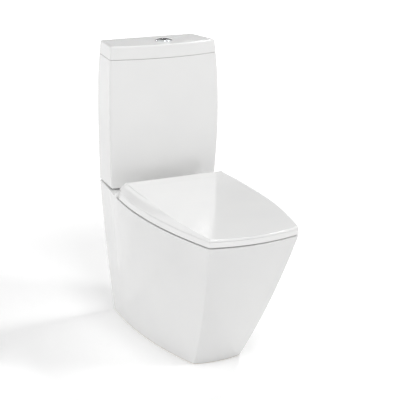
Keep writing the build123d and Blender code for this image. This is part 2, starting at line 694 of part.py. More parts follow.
# Cistern lid: a shallow box with a locating lip inside the cistern's walls
with BuildPart() as cistern_lid:
    loft([cistern_face(z) for z in (SEAM_Z + SEAM_GAP, (SEAM_Z + TOP_Z) / 2, TOP_Z)])
    with Locations(at(0, 0)):
        Box(DEPTH, DEPTH, 2 * TOP_Z, align=BACKWARD, mode=Mode.SUBTRACT)
    fillet(cistern_lid.faces().sort_by(Axis.Z)[-1].edges(), CISTERN_EDGE_R)
    fillet(cistern_lid.faces().sort_by(Axis.Z)[0].edges(), SEAM_EDGE_R)
    lip_outer = cistern_face(SEAM_Z - LID_LIP_DEPTH, CISTERN_WALL + LID_LIP_GAP)
    extrude(lip_outer, amount=TOP_Z - CISTERN_WALL - SEAM_Z + LID_LIP_DEPTH)
    lip_inner = cistern_face(SEAM_Z - LID_LIP_DEPTH, CISTERN_WALL + LID_LIP_GAP + LID_LIP_WALL)
    extrude(lip_inner, amount=TOP_Z - CISTERN_WALL - SEAM_Z + LID_LIP_DEPTH, mode=Mode.SUBTRACT)
    with Locations(at(BUTTON_X, BUTTON_D, TOP_Z)):
        Cylinder(SLEEVE_R + FREE_GAP, CISTERN_WALL, align=HANGING, mode=Mode.SUBTRACT)
save(cistern_lid, "cistern_lid")

# Flush buttons: a chromed bezel clamped to the lid by a lock nut, with two buttons, rods and springs
with BuildPart() as button_bezel:
    with Locations(at(BUTTON_X, BUTTON_D, TOP_Z)):
        Cylinder(BEZEL_R, BEZEL_HEIGHT, align=STANDING)
    fillet(button_bezel.faces().sort_by(Axis.Z)[-1].edges(), BEZEL_EDGE_R)
    with Locations(at(BUTTON_X, BUTTON_D, SLEEVE_FLOOR_Z - SLEEVE_FLOOR)):
        Cylinder(SLEEVE_R, TOP_Z - SLEEVE_FLOOR_Z + SLEEVE_FLOOR, align=STANDING)
    with Locations(at(BUTTON_X, BUTTON_D, SLEEVE_FLOOR_Z)):
        Cylinder(SLEEVE_BORE_R, TOP_Z, align=STANDING, mode=Mode.SUBTRACT)
    for rod_x in (FULL_ROD_X, HALF_ROD_X):
        with Locations(at(rod_x, BUTTON_D, SLEEVE_FLOOR_Z)):
            Cylinder(PUSH_ROD_R + FREE_GAP, SLEEVE_FLOOR, align=HANGING, mode=Mode.SUBTRACT)
save(button_bezel, "button_bezel")

with BuildPart() as button_locknut:
    with BuildSketch(Plane.XY.offset(TOP_Z - CISTERN_WALL - LOCKNUT_HEIGHT)):
        with Locations(flat(BUTTON_X, BUTTON_D)):
            RegularPolygon(LOCKNUT_R, LOCKNUT_SIDES)
            Circle(SLEEVE_R, mode=Mode.SUBTRACT)
    extrude(amount=LOCKNUT_HEIGHT)
save(button_locknut, "button_locknut")


def flush_button(side):
    """One of the two buttons: the part of a dished disc on one side of the split. Left is -1."""
    edge_x = BUTTON_SPLIT_X + side * BUTTON_SPLIT_GAP / 2
    with BuildPart() as button:
        with Locations(at(BUTTON_X, BUTTON_D, BUTTON_BASE_Z)):
            Cylinder(BUTTON_R, BUTTON_TOP_Z - BUTTON_BASE_Z, align=STANDING)
        keep = Keep.TOP if side > 0 else Keep.BOTTOM
        split(bisect_by=Plane.YZ.offset(edge_x), keep=keep)
        fillet(button.faces().sort_by(Axis.Z)[-1].edges(), BUTTON_EDGE_R)
        with Locations(at(BUTTON_X, BUTTON_D, BUTTON_TOP_Z - DISH_DEPTH + DISH_R)):
            Sphere(DISH_R, mode=Mode.SUBTRACT)
    return button


save(flush_button(-1), "full_flush_button")
save(flush_button(1), "half_flush_button")


def flush_rod(rod_x, end_x):
    """A push rod with a cranked arm that reaches from under its button to over the flush valve."""
    with BuildPart() as rod:
        with Locations(at(rod_x, BUTTON_D, ROD_ARM_Z)):
            Cylinder(PUSH_ROD_R, BUTTON_BASE_Z - ROD_ARM_Z, align=STANDING)
        with Locations(at((rod_x + end_x) / 2, BUTTON_D, ROD_ARM_Z)):
            Box(abs(rod_x - end_x) + 2 * PUSH_ROD_R, 2 * PUSH_ROD_R, ROD_ARM_HEIGHT, align=STANDING)
        with Locations(at(end_x, (BUTTON_D + FLUSH_D) / 2, ROD_ARM_Z)):
            Box(2 * PUSH_ROD_R, BUTTON_D - FLUSH_D + 2 * PUSH_ROD_R, ROD_ARM_HEIGHT, align=STANDING)
    return rod


with BuildPart() as full_flush_rod:
    add(flush_rod(FULL_ROD_X, FOOT_X).part)
    with Locations(at(FOOT_X, FLUSH_D, ROD_ARM_Z)):
        Box(FOOT_WIDTH, 2 * PUSH_ROD_R, ROD_ARM_Z - FOOT_END_Z, align=HANGING)
save(full_flush_rod, "full_flush_rod")

with BuildPart() as half_flush_rod:
    add(flush_rod(HALF_ROD_X, GUIDE_X).part)
    with Locations(at(GUIDE_X, FLUSH_D, ROD_ARM_Z)):
        Cylinder(PUSH_ROD_R, ROD_ARM_Z - GUIDE_ROD_END_Z, align=HANGING)
save(half_flush_rod, "half_flush_rod")

for name, rod_x in (("full_flush_spring", FULL_ROD_X), ("half_flush_spring", HALF_ROD_X)):
    spring_base_z = SLEEVE_FLOOR_Z + SPRING_WIRE_R + SPRING_SEAT_GAP
    spring_height = BUTTON_BASE_Z - SPRING_SEAT_GAP - SPRING_WIRE_R - spring_base_z
    with BuildPart() as spring:
        with BuildLine() as coil:
            spring_foot = at(rod_x, BUTTON_D, spring_base_z)
            Helix(spring_height / SPRING_TURNS, spring_height, SPRING_R, center=spring_foot)
        with BuildSketch(Plane(origin=coil.line @ 0, z_dir=coil.line % 0)):
            Circle(SPRING_WIRE_R)
        sweep(is_frenet=True)
    save(spring, name)

# Flush valve: a base clamped through the cistern floor, a cage tower over it, and the core that lifts
with BuildPart() as flush_valve_base:
    with Locations(at(0, FLUSH_D, FLANGE_Z)):
        Cylinder(FLANGE_R, FLANGE_TOP_Z - FLANGE_Z, align=STANDING)
        Cylinder(TAIL_R, FLANGE_Z - TAIL_END_Z, align=HANGING)
    with Locations(at(0, FLUSH_D, TAIL_END_Z)):
        Cylinder(TAIL_BORE_R, FLANGE_TOP_Z - TAIL_END_Z, align=STANDING, mode=Mode.SUBTRACT)
save(flush_valve_base, "flush_valve_base")


def washer(place, outer_r, inner_r, height):
    """A flat ring that stands on a place."""
    with BuildPart() as ring:
        with Locations(*place):
            Cylinder(outer_r, height, align=STANDING)
            Cylinder(inner_r, height, align=STANDING, mode=Mode.SUBTRACT)
    return ring


def hex_nut(place, across_r, inner_r, height):
    """A hexagonal nut that hangs from a place."""
    with BuildPart() as nut:
        with BuildSketch(Plane(place)):
            RegularPolygon(across_r, 6, major_radius=False)
            Circle(inner_r, mode=Mode.SUBTRACT)
        extrude(amount=-height)
    return nut


flush_gasket_r = FLANGE_R - FITTING_GAP
save(washer([at(0, FLUSH_D, FLOOR_Z)], flush_gasket_r, TAIL_R, GASKET), "flush_valve_gasket")
save(hex_nut(at(0, FLUSH_D, CISTERN_Z), BACKNUT_R, TAIL_R, BACKNUT_HEIGHT), "flush_valve_backnut")
save(
    washer([at(0, FLUSH_D, DOUGHNUT_Z)], DOUGHNUT_R, DOUGHNUT_BORE_R, CISTERN_Z - DOUGHNUT_Z),
    "doughnut_seal",
)

with BuildPart() as flush_valve_cage:
    with Locations(at(0, FLUSH_D, FLANGE_TOP_Z)):
        Cylinder(TOWER_R, TOWER_TOP_Z - FLANGE_TOP_Z, align=STANDING)
        Cylinder(TOWER_BORE_R, TOWER_TOP_Z - FLANGE_TOP_Z - TOWER_ROOF, align=STANDING, mode=Mode.SUBTRACT)
        Cylinder(CORE_R + FITTING_GAP, TOWER_TOP_Z, align=STANDING, mode=Mode.SUBTRACT)
    with Locations(at(0, FLUSH_D, FLANGE_TOP_Z + TOWER_FOOT)):
        with PolarLocations(0, 2, start_angle=45, angular_range=180):
            Box(2 * TOWER_R, TOWER_WINDOW, TOWER_LEG_TOP_Z - FLANGE_TOP_Z - TOWER_FOOT, align=STANDING,
                mode=Mode.SUBTRACT)
    for ear in (-1, 1):
        with Locations(at(LEVER_PIVOT_X, FLUSH_D - ear * EAR_OFFSET, TOWER_TOP_Z - TOWER_ROOF)):
            ear_height = LEVER_PIVOT_Z + EAR_LENGTH / 2 - TOWER_TOP_Z + TOWER_ROOF
            Box(EAR_LENGTH, EAR_THICK, ear_height, align=STANDING)
    with Locations(at(LEVER_PIVOT_X, FLUSH_D, TOWER_TOP_Z)):
        Box(EAR_LENGTH, 2 * EAR_OFFSET + EAR_THICK, TOWER_ROOF, align=HANGING)
    with Locations(at(LEVER_PIVOT_X, FLUSH_D, LEVER_PIVOT_Z)):
        Cylinder(LEVER_PIN_R, 4 * EAR_OFFSET, rotation=(90, 0, 0), mode=Mode.SUBTRACT)
    with Locations(at(GUIDE_X, FLUSH_D, TOWER_TOP_Z - TOWER_ROOF)):
        Cylinder(GUIDE_R, GUIDE_TOP_Z - TOWER_TOP_Z + TOWER_ROOF, align=STANDING)
    with Locations(at(GUIDE_X, FLUSH_D, TOWER_TOP_Z)):
        Cylinder(PUSH_ROD_R + FREE_GAP, GUIDE_TOP_Z - TOWER_TOP_Z, align=STANDING, mode=Mode.SUBTRACT)
save(flush_valve_cage, "flush_valve_cage")

with BuildPart() as flush_valve_core:
    with Locations(at(0, FLUSH_D, CORE_Z)):
        Cylinder(CORE_DISC_R, CORE_DISC_THICK, align=STANDING)
        Cylinder(CORE_R, CORE_TOP_Z - CORE_Z, align=STANDING)
    with Locations(at(0, FLUSH_D, COLLAR_Z)):
        Cylinder(COLLAR_R, COLLAR_THICK, align=STANDING)
    with Locations(at(0, FLUSH_D, CORE_Z)):
        Cylinder(CORE_BORE_R, CORE_TOP_Z - CORE_Z, align=STANDING, mode=Mode.SUBTRACT)
save(flush_valve_core, "flush_valve_core")

seal_z = FLANGE_TOP_Z + BUFFER_GAP
save(
    washer([at(0, FLUSH_D, seal_z)], FLUSH_SEAL_R, CORE_BORE_R + FITTING_GAP, CORE_Z - seal_z),
    "flush_valve_seal",
)
save(washer([at(0, FLUSH_D, HALF_FLOAT_Z)], HALF_FLOAT_R, CORE_R, HALF_FLOAT_HEIGHT), "half_flush_float")

with BuildPart() as flush_lever:
    with Locations(at((LEVER_OUTER_X + LEVER_INNER_X) / 2, FLUSH_D, LEVER_PIVOT_Z)):
        Box(LEVER_INNER_X - LEVER_OUTER_X, LEVER_WIDTH, LEVER_THICK)
    with Locations(at(LEVER_PIVOT_X, FLUSH_D, LEVER_PIVOT_Z)):
        Cylinder(LEVER_PIN_R + RUNNING_GAP, LEVER_WIDTH, rotation=(90, 0, 0), mode=Mode.SUBTRACT)
save(flush_lever, "flush_lever")

with BuildPart() as flush_lever_pin:
    with Locations(at(LEVER_PIVOT_X, FLUSH_D, LEVER_PIVOT_Z)):
        Cylinder(LEVER_PIN_R, 2 * EAR_OFFSET + EAR_THICK, rotation=(90, 0, 0))
save(flush_lever_pin, "flush_lever_pin")

# Fill valve: a riser clamped through the cistern floor, with a float that works the lever on its head
with BuildPart() as fill_valve_body:
    with Locations(at(FILL_X, FILL_D, FLANGE_Z)):
        Cylinder(FILL_FLANGE_R, FILL_FLANGE_THICK, align=STANDING)
        Cylinder(FILL_TAIL_R, FLANGE_Z - FILL_TAIL_END_Z - INLET_LENGTH, align=HANGING)
        Cylinder(INLET_R, FLANGE_Z - FILL_TAIL_END_Z, align=HANGING)
        Cylinder(RISER_R, FILL_HEAD_Z - FLANGE_Z, align=STANDING)
    with Locations(at(FILL_X, FILL_D, FILL_HEAD_Z)):
        Cylinder(FILL_HEAD_R, FILL_HEAD_TOP_Z - FILL_HEAD_Z, align=STANDING)
    for ear in (-1, 1):
        with Locations(at(FILL_PIVOT_X - EAR_LENGTH / 2, FILL_D - ear * EAR_OFFSET, FILL_HEAD_Z)):
            Box(2 * EAR_LENGTH, EAR_THICK, FILL_PIVOT_Z + EAR_LENGTH / 2 - FILL_HEAD_Z, align=STANDING)
    with Locations(at(FILL_PIVOT_X, FILL_D, FILL_PIVOT_Z)):
        Cylinder(LEVER_PIN_R, 4 * EAR_OFFSET, rotation=(90, 0, 0), mode=Mode.SUBTRACT)
    with Locations(at(FILL_X, FILL_D, FILL_TAIL_END_Z)):
        Cylinder(FILL_BORE_R, FLANGE_Z - FILL_TAIL_END_Z, align=STANDING, mode=Mode.SUBTRACT)
save(fill_valve_body, "fill_valve_body")

fill_gasket_r = FILL_FLANGE_R - FITTING_GAP
save(washer([at(FILL_X, FILL_D, FLOOR_Z)], fill_gasket_r, FILL_TAIL_R, GASKET), "fill_valve_gasket")
save(hex_nut(at(FILL_X, FILL_D, CISTERN_Z), FILL_NUT_R, FILL_TAIL_R, BACKNUT_HEIGHT), "fill_valve_backnut")
strainer_place = at(FILL_X, FILL_D, FILL_TAIL_END_Z + STRAINER_INSET)
save(washer([strainer_place], FILL_BORE_R, STRAINER_BORE_R, STRAINER_LENGTH), "inlet_strainer")

with BuildPart() as fill_valve_float:
    with Locations(at(FILL_X, FILL_D, FLOAT_Z)):
        Cylinder(FLOAT_R, FLOAT_TOP_Z - FLOAT_Z, align=STANDING)
        Cylinder(FLOAT_R - FLOAT_WALL, FLOAT_TOP_Z - FLOAT_Z - FLOAT_WALL, align=STANDING, mode=Mode.SUBTRACT)
        Cylinder(RISER_R + FITTING_GAP + FLOAT_WALL, FLOAT_TOP_Z - FLOAT_Z, align=STANDING)
        Cylinder(RISER_R + FITTING_GAP, FLOAT_TOP_Z - FLOAT_Z, align=STANDING, mode=Mode.SUBTRACT)
    with Locations(at(FILL_X + FLOAT_R - FLOAT_WALL / 2, FILL_D, FLOAT_TOP_Z)):
        Box(FLOAT_TAB_LENGTH, LEVER_WIDTH, FLOAT_WALL, align=(Align.MIN, Align.CENTER, Align.MAX))
    with Locations(at(FILL_LINK_X, FILL_D, FLOAT_TOP_Z)):
        Cylinder(LINK_R, FILL_PIVOT_Z - LEVER_THICK / 2 - LINK_GAP - FLOAT_TOP_Z, align=STANDING)
save(fill_valve_float, "fill_valve_float")

with BuildPart() as fill_valve_lever:
    with Locations(at(FILL_PIVOT_X - FILL_LEVER_TAIL, FILL_D, FILL_PIVOT_Z)):
        Box(FILL_LINK_X - FILL_PIVOT_X + 2 * FILL_LEVER_TAIL, LEVER_WIDTH, LEVER_THICK,
            align=(Align.MIN, Align.CENTER, Align.CENTER))
    with Locations(at(FILL_PIVOT_X, FILL_D, FILL_PIVOT_Z)):
        Cylinder(LEVER_PIN_R + RUNNING_GAP, LEVER_WIDTH, rotation=(90, 0, 0), mode=Mode.SUBTRACT)
save(fill_valve_lever, "fill_valve_lever")

with BuildPart() as fill_valve_lever_pin:
    with Locations(at(FILL_PIVOT_X, FILL_D, FILL_PIVOT_Z)):
        Cylinder(LEVER_PIN_R, 2 * EAR_OFFSET + EAR_THICK, rotation=(90, 0, 0))
save(fill_valve_lever_pin, "fill_valve_lever_pin")

# Coupling set: two bolts hold the cistern down on the shelf, with seals inside and wing nuts below
bolt_places = [flat(-BOLT_X, FLUSH_D), flat(BOLT_X, FLUSH_D)]
head_z = FLOOR_Z + SEAL_THICK + WASHER_THICK
save(washer([(x, y, FLOOR_Z) for x, y in bolt_places], SEAL_R, BOLT_R, SEAL_THICK), "coupling_seals")
save(
    washer([(x, y, FLOOR_Z + SEAL_THICK) for x, y in bolt_places], WASHER_R, BOLT_R, WASHER_THICK),
    "coupling_head_washers",
)
with BuildPart() as coupling_bolts:
    for x, y in bolt_places:
        with BuildSketch(Plane((x, y, head_z))):
            RegularPolygon(BOLT_HEAD_R, 6, major_radius=False)
        extrude(amount=BOLT_HEAD_HEIGHT)
        with Locations((x, y, head_z)):
            Cylinder(BOLT_R, head_z - BOLT_END_Z, align=HANGING)
save(coupling_bolts, "coupling_bolts")

under_z = DECK_UNDER_Z - WASHER_THICK
save(washer([(x, y, under_z) for x, y in bolt_places], WASHER_R, BOLT_R, WASHER_THICK), "coupling_washers")
save(wing_nuts([(x, y, under_z) for x, y in bolt_places], BOLT_R), "coupling_wing_nuts")

with BuildPart() as cistern_pads:
    with Locations(at(-PAD_X, PAD_D, RIM_Z), at(PAD_X, PAD_D, RIM_Z)):
        Box(PAD_LENGTH, PAD_WIDTH, CISTERN_Z - RIM_Z, align=STANDING)
save(cistern_pads, "cistern_pads")
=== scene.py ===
import math

import bmesh
import bpy
from mathutils import Matrix, Vector


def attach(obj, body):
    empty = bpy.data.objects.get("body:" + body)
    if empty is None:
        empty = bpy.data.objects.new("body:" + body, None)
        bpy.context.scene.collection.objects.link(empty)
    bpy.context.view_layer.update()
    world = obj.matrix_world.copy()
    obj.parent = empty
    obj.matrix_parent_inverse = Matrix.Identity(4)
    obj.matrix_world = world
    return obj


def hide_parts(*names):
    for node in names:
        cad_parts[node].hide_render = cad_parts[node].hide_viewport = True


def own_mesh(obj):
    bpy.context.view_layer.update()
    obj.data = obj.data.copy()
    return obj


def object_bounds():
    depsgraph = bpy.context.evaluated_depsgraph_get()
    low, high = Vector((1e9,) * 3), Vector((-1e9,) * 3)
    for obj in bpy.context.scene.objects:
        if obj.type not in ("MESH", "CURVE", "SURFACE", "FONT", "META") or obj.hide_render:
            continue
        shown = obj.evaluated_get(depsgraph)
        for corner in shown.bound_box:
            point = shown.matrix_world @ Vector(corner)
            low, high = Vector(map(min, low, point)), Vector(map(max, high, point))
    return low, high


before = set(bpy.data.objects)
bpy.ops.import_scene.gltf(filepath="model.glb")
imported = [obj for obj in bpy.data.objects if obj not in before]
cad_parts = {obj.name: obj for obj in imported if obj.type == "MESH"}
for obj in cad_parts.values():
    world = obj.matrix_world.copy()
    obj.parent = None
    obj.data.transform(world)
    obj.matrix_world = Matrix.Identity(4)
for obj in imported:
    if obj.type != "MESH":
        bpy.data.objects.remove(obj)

cad_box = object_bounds()

# Pan: one slip-cast and fired piece of vitreous china, with its shelf, flush duct, bowl and waste passage.
# A thick white glaze is sprayed on before firing. The foot that stands in the kiln is wiped clean of it.


def linear(colour):
    """An sRGB hex colour as linear RGBA."""
    parts = [int(colour[i:i + 2], 16) / 255 for i in (1, 3, 5)]
    return [p / 12.92 if p <= 0.04045 else ((p + 0.055) / 1.055) ** 2.4 for p in parts] + [1.0]


def per_metre(millimetres):
    """The texture scale that gives features of a real size."""
    return 1000 / millimetres


def add_node(tree, kind, inputs=None, **settings):
    """Adds a node with its settings. An input is a value, or the output socket that feeds it."""
    node = tree.nodes.new(kind)
    for name, value in settings.items():
        setattr(node, name, value)
    for name, value in (inputs or {}).items():
        if isinstance(value, bpy.types.NodeSocket):
            tree.links.new(value, node.inputs[name])
        else:
            node.inputs[name].default_value = value
    return node


def new_material(name):
    """An empty material, and the object coordinates that its patterns read."""
    material = bpy.data.materials.new(name)
    material.use_nodes = True
    tree = material.node_tree
    tree.nodes.clear()
    return material, tree, add_node(tree, "ShaderNodeTexCoord").outputs["Object"]


def glazed_china():
    """White glaze over vitreous china. It is glossy, a little wavy and softly pooled, and where it was wiped
    off the foot the fired body shows as a matt, gritty biscuit."""
    material, tree, place = new_material("glazed_vitreous_china")
    pooling = {"Vector": place, "Scale": per_metre(150), "Detail": 2.0}
    pooled = add_node(tree, "ShaderNodeTexNoise", pooling).outputs["Fac"]
    tones = {"Factor": pooled, 6: linear(GLAZE_THIN), 7: linear(GLAZE_THICK)}
    glaze = add_node(tree, "ShaderNodeMix", tones, data_type="RGBA").outputs[2]
    grit = {"Vector": place, "Scale": per_metre(6), "Detail": 4.0}
    gritty = add_node(tree, "ShaderNodeTexNoise", grit).outputs["Fac"]
    tones = {"Factor": gritty, 6: linear(BISCUIT_DARK), 7: linear(BISCUIT_PALE)}
    biscuit = add_node(tree, "ShaderNodeMix", tones, data_type="RGBA").outputs[2]
    height = add_node(tree, "ShaderNodeSeparateXYZ", {"Vector": place}).outputs["Z"]
    wiped = {0: height, 1: WIPED_HEIGHT}
    bare = add_node(tree, "ShaderNodeMath", wiped, operation="LESS_THAN").outputs[0]
    tones = {"Factor": bare, 6: glaze, 7: biscuit}
    colour = add_node(tree, "ShaderNodeMix", tones, data_type="RGBA").outputs[2]
    waves = {"Vector": place, "Scale": per_metre(24), "Detail": 1.0}
    ripple = add_node(tree, "ShaderNodeTexNoise", waves).outputs["Fac"]
    sheen = add_node(tree, "ShaderNodeMapRange", {"Value": ripple, "To Min": 0.05, "To Max": 0.10}).outputs[0]
    roughness = add_node(tree, "ShaderNodeMix", {"Factor": bare, 2: sheen, 3: BISCUIT_ROUGHNESS}).outputs[0]
    relief = {"Height": ripple, "Distance": 0.0006, "Strength": 0.05}
    normal = add_node(tree, "ShaderNodeBump", relief).outputs["Normal"]
    finish = {"Base Color": colour, "Roughness": roughness, "IOR": 1.52, "Normal": normal}
    shader = add_node(tree, "ShaderNodeBsdfPrincipled", finish).outputs[0]
    add_node(tree, "ShaderNodeOutputMaterial", {"Surface": shader})
    return material


def dress(material, *names):
    """Gives CAD nodes a finish."""
    for name in names:
        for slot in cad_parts[name].material_slots:
            slot.material = material


GLAZE_THIN = "#E4E4E4"
GLAZE_THICK = "#E9E9E8"
BISCUIT_DARK = "#CFC6B8"
BISCUIT_PALE = "#E0DACE"
BISCUIT_ROUGHNESS = 0.75
WIPED_HEIGHT = 0.0012
china = glazed_china()
dress(china, "pan", "pan_shelf_plate", "pan_flush_duct", "pan_bowl", "pan_trapway")

# Seat and lid: urea thermoset pressed in a polished steel mould, with the round end caps of their hinge.
# It is whiter and harder than nylon, and lies on the rim on rubber buffers.


def polished_thermoset():
    """Polished white urea moulding, with a faint orange peel where it shrank as it cured."""
    material, tree, place = new_material("polished_urea_thermoset")
    clouds = {"Vector": place, "Scale": per_metre(90), "Detail": 2.0}
    cloudy = add_node(tree, "ShaderNodeTexNoise", clouds).outputs["Fac"]
    tones = {"Factor": cloudy, 6: linear(UREA_DARK), 7: linear(UREA_PALE)}
    colour = add_node(tree, "ShaderNodeMix", tones, data_type="RGBA").outputs[2]
    dimples = {"Vector": place, "Scale": per_metre(5), "Detail": 2.0}
    peel = add_node(tree, "ShaderNodeTexNoise", dimples).outputs["Fac"]
    sheen = {"Value": peel, "To Min": 0.10, "To Max": 0.17}
    roughness = add_node(tree, "ShaderNodeMapRange", sheen).outputs[0]
    relief = {"Height": peel, "Distance": 0.0002, "Strength": 0.05}
    normal = add_node(tree, "ShaderNodeBump", relief).outputs["Normal"]
    finish = {"Base Color": colour, "Roughness": roughness, "IOR": 1.54, "Normal": normal}
    shader = add_node(tree, "ShaderNodeBsdfPrincipled", finish).outputs[0]
    add_node(tree, "ShaderNodeOutputMaterial", {"Surface": shader})
    return material


UREA_DARK = "#E8E8E8"
UREA_PALE = "#EDEDEC"
thermoset = polished_thermoset()
dress(thermoset, "seat_ring", "seat_lid", "hinge_end_caps")

# Hinge: a zinc-plated rod through nylon pillars and bushes. Plated studs go down through the shelf to rubber
# washers and nylon wing nuts.


def zinc_plate(name, thread_pitch=0.0):
    """Zinc-plated steel, a dull silver that drifts to straw, with threads where a pitch is given."""
    material, tree, place = new_material(name)
    clouds = {"Vector": place, "Scale": per_metre(9), "Detail": 3.0}
    cloudy = add_node(tree, "ShaderNodeTexNoise", clouds).outputs["Fac"]
    tones = {"Factor": cloudy, 6: linear(ZINC_SILVER), 7: linear(ZINC_STRAW)}
    colour = add_node(tree, "ShaderNodeMix", tones, data_type="RGBA").outputs[2]
    sheen = {"Value": cloudy, "To Min": 0.28, "To Max": 0.42}
    roughness = add_node(tree, "ShaderNodeMapRange", sheen).outputs[0]
    if thread_pitch:
        turns = {"Vector": place, "Scale": per_metre(thread_pitch) * math.tau / WAVE_RATE}
        pattern = add_node(tree, "ShaderNodeTexWave", turns, bands_direction="Z").outputs["Fac"]
        relief = {"Height": pattern, "Distance": 0.0005, "Strength": 0.6}
    else:
        crystals = {"Vector": place, "Scale": per_metre(0.8), "Detail": 2.0}
        pattern = add_node(tree, "ShaderNodeTexNoise", crystals).outputs["Fac"]
        relief = {"Height": pattern, "Distance": 0.00005, "Strength": 0.6}
    normal = add_node(tree, "ShaderNodeBump", relief).outputs["Normal"]
    finish = {"Base Color": colour, "Metallic": 1.0, "Roughness": roughness, "Normal": normal}
    shader = add_node(tree, "ShaderNodeBsdfPrincipled", finish).outputs[0]
    add_node(tree, "ShaderNodeOutputMaterial", {"Surface": shader})
    return material


def satin_moulding(name, dark, pale):
    """A satin injection moulding, faintly clouded, with a fine spark-eroded grain."""
    material, tree, place = new_material(name)
    clouds = {"Vector": place, "Scale": per_metre(18), "Detail": 2.0}
    cloudy = add_node(tree, "ShaderNodeTexNoise", clouds).outputs["Fac"]
    tones = {"Factor": cloudy, 6: linear(dark), 7: linear(pale)}
    colour = add_node(tree, "ShaderNodeMix", tones, data_type="RGBA").outputs[2]
    sparks = {"Vector": place, "Scale": per_metre(0.6), "Detail": 2.0}
    grain = add_node(tree, "ShaderNodeTexNoise", sparks).outputs["Fac"]
    sheen = {"Value": grain, "To Min": 0.38, "To Max": 0.52}
    roughness = add_node(tree, "ShaderNodeMapRange", sheen).outputs[0]
    relief = {"Height": grain, "Distance": 0.00004, "Strength": 0.4}
    normal = add_node(tree, "ShaderNodeBump", relief).outputs["Normal"]
    finish = {"Base Color": colour, "Roughness": roughness, "IOR": 1.53, "Normal": normal}
    shader = add_node(tree, "ShaderNodeBsdfPrincipled", finish).outputs[0]
    add_node(tree, "ShaderNodeOutputMaterial", {"Surface": shader})
    return material


ZINC_SILVER = "#B4B7BB"
ZINC_STRAW = "#C9C5B2"
THREAD_PITCH = 1.25
WAVE_RATE = 20
steel = zinc_plate("zinc_plated_steel")
threaded_steel = zinc_plate("zinc_plated_thread", THREAD_PITCH)
nylon = satin_moulding("moulded_white_nylon", "#DCDBD5", "#E8E7E2")
dress(steel, "hinge_rod")
dress(threaded_steel, "hinge_studs")
dress(nylon, "ring_hinge_bushes", "lid_hinge_bushes", "hinge_pillars", "hinge_wing_nuts")

# Buffers: round rubber pads under the seat and under the lid, pushed into the mouldings. The hinge's washers
# under the shelf are of the same rubber.


def black_rubber():
    """Black nitrile rubber, matt, with a pale dusty bloom."""
    material, tree, place = new_material("black_nitrile_rubber")
    bloom = {"Vector": place, "Scale": per_metre(7), "Detail": 4.0}
    bloomed = add_node(tree, "ShaderNodeTexNoise", bloom).outputs["Fac"]
    tones = {"Factor": bloomed, 6: linear(RUBBER_DARK), 7: linear(RUBBER_BLOOM)}
    colour = add_node(tree, "ShaderNodeMix", tones, data_type="RGBA").outputs[2]
    skin = {"Vector": place, "Scale": per_metre(1.2), "Detail": 4.0}
    grain = add_node(tree, "ShaderNodeTexNoise", skin).outputs["Fac"]
    sheen = {"Value": grain, "To Min": 0.60, "To Max": 0.82}
    roughness = add_node(tree, "ShaderNodeMapRange", sheen).outputs[0]
    relief = {"Height": grain, "Distance": 0.00008, "Strength": 0.5}
    normal = add_node(tree, "ShaderNodeBump", relief).outputs["Normal"]
    finish = {"Base Color": colour, "Roughness": roughness, "Normal": normal}
    shader = add_node(tree, "ShaderNodeBsdfPrincipled", finish).outputs[0]
    add_node(tree, "ShaderNodeOutputMaterial", {"Surface": shader})
    return material


RUBBER_DARK = "#1A1B1C"
RUBBER_BLOOM = "#303132"
rubber = black_rubber()
dress(rubber, "seat_buffers", "lid_buffers", "hinge_washers")

# Cistern and its lid: two more castings of the same glazed china. The lid is loose and drops over the tank,
# and a dark line of shadow shows where they meet.
dress(china, "cistern", "cistern_lid")

# Flush buttons: two dished halves in a round bezel, all chromed plastic, over nylon push rods and plated
# springs. A nylon lock nut clamps the bezel from under the lid.


def chrome_plate():
    """Bright chrome plate on moulded plastic, smooth, with the smears that fingers leave."""
    material, tree, place = new_material("bright_chrome_plate")
    touch = {"Vector": place, "Scale": per_metre(8), "Detail": 4.0}
    smear = add_node(tree, "ShaderNodeTexNoise", touch).outputs["Fac"]
    tones = {"Factor": smear, 6: linear(CHROME_DARK), 7: linear(CHROME_PALE)}
    colour = add_node(tree, "ShaderNodeMix", tones, data_type="RGBA").outputs[2]
    sheen = {"Value": smear, "To Min": 0.04, "To Max": 0.12}
    roughness = add_node(tree, "ShaderNodeMapRange", sheen).outputs[0]
    sinks = {"Vector": place, "Scale": per_metre(12), "Detail": 2.0}
    hollows = add_node(tree, "ShaderNodeTexNoise", sinks).outputs["Fac"]
    relief = {"Height": hollows, "Distance": 0.0001, "Strength": 0.08}
    normal = add_node(tree, "ShaderNodeBump", relief).outputs["Normal"]
    finish = {"Base Color": colour, "Metallic": 1.0, "Roughness": roughness, "Normal": normal}
    shader = add_node(tree, "ShaderNodeBsdfPrincipled", finish).outputs[0]
    add_node(tree, "ShaderNodeOutputMaterial", {"Surface": shader})
    return material


CHROME_DARK = "#CFD1D3"
CHROME_PALE = "#DFE1E2"
chrome = chrome_plate()
dress(chrome, "button_bezel", "full_flush_button", "half_flush_button")
dress(nylon, "button_locknut", "full_flush_rod", "half_flush_rod")


def add_return_spring(node):
    """A coil that stands on the bezel for a rigid CAD spring, welded into one mesh and carried with the
    cistern lid.
    """
    coil_mesh = bpy.data.meshes.new(node + "_coil")
    coil_form = bmesh.new()
    coil_form.from_mesh(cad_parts[node].data)
    bmesh.ops.remove_doubles(coil_form, verts=coil_form.verts, dist=WELD_GAP)
    coil_form.to_mesh(coil_mesh)
    coil_form.free()
    coil_mesh.materials.append(steel)
    coil = bpy.data.objects.new(node + "_coil", coil_mesh)
    bpy.context.collection.objects.link(coil)
    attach(coil, "cistern_lid")
    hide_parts(node)
    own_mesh(coil)


WELD_GAP = 0.000001
add_return_spring("full_flush_spring")
add_return_spring("half_flush_spring")

